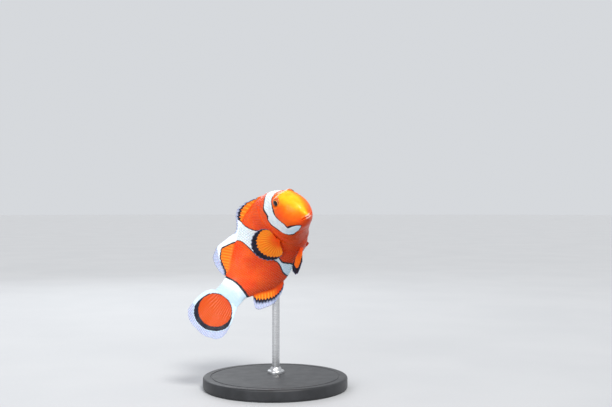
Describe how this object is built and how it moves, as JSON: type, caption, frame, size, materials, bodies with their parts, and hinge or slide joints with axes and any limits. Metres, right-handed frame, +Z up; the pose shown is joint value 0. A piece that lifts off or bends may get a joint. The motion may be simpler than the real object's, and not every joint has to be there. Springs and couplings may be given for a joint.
{
  "type": "clownfish model",
  "caption": "Life-size ocellaris clownfish turning hard to its right with spread fins, held by one rod on a flat round display base.",
  "frame": {"origin": "centre of the part's outline seen from above, on the underside of the display base", "axes": "+Z up, along the stand's rod; the fish's back is towards -X and +Z, its tail towards -X and -Z, and its face towards -Y and +X"},
  "size_m": [0.0652, 0.06, 0.0827],
  "materials": {
    "flesh_orange": "wet scaled skin: orange with three white bands edged in black",
    "fin_orange": "rayed fin membrane: orange, black towards the edge, pale clear margin",
    "eye": "clear wet cornea over an orange iris and a black pupil",
    "stand_paint": "satin dark grey",
    "stand_steel": "fine brushed steel rod"
  },
  "bodies": {
    "root": {"head": "flesh_orange", "trunk": "flesh_orange", "peduncle": "flesh_orange", "eye_right": "eye", "eye_left": "eye", "dorsal_fin_spiny": "fin_orange", "dorsal_fin_soft": "fin_orange", "anal_fin": "fin_orange", "caudal_fin": "fin_orange", "pectoral_fin_right": "fin_orange", "pectoral_fin_left": "fin_orange", "pelvic_fin_right": "fin_orange", "pelvic_fin_left": "fin_orange", "stand_base": "stand_paint", "stand_rod": "stand_steel"}
  },
  "joints": []
}
